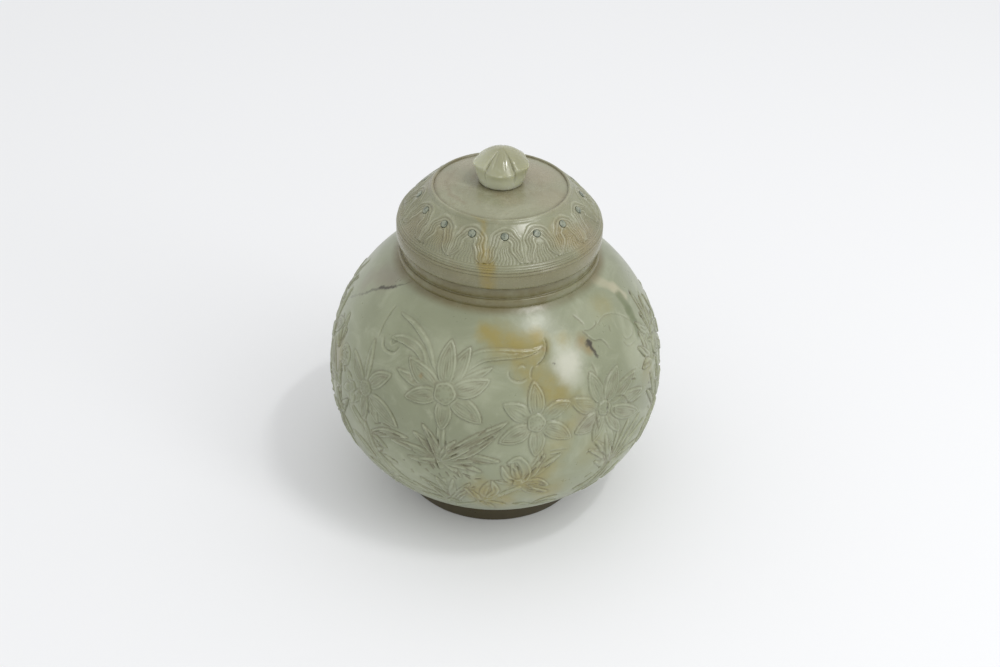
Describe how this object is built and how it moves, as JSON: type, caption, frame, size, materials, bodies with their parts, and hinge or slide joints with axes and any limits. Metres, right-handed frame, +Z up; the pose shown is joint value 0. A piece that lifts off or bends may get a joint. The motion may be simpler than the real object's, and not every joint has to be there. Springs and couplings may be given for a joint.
{
  "type": "covered sugar pot",
  "caption": "Round-bellied covered sugar pot of carved jade on a foot ring, with a domed lift-off lid, a lotus-bud finial and small inlaid eyes in the lid's petal band.",
  "frame": {"origin": "centre of the foot ring's flat underside, on the pot's own axis", "axes": "+Z up along the axis the pot and lid were turned on; -Y faces the side that the picture shows"},
  "size_m": [0.1006, 0.1006, 0.1132],
  "materials": {
    "jade_body": "satin",
    "jade_lid": "satin",
    "jade_finial": "satin",
    "eye_stone": "satin"
  },
  "bodies": {
    "pot": {"pot_body": "jade_body"},
    "lid": {"lid": "jade_lid", "finial": "jade_finial", "petal_eye_01": "eye_stone", "petal_eye_02": "eye_stone", "petal_eye_03": "eye_stone", "petal_eye_04": "eye_stone", "petal_eye_05": "eye_stone", "petal_eye_06": "eye_stone", "petal_eye_07": "eye_stone", "petal_eye_08": "eye_stone", "petal_eye_09": "eye_stone", "petal_eye_10": "eye_stone", "petal_eye_11": "eye_stone", "petal_eye_12": "eye_stone", "petal_eye_13": "eye_stone", "petal_eye_14": "eye_stone", "petal_eye_15": "eye_stone", "petal_eye_16": "eye_stone"}
  },
  "joints": [
    {"name": "lid_lift", "type": "slide", "parent": "pot", "child": "lid", "axis": [0, 0, 1], "range_m": [0, 0.06]}
  ]
}
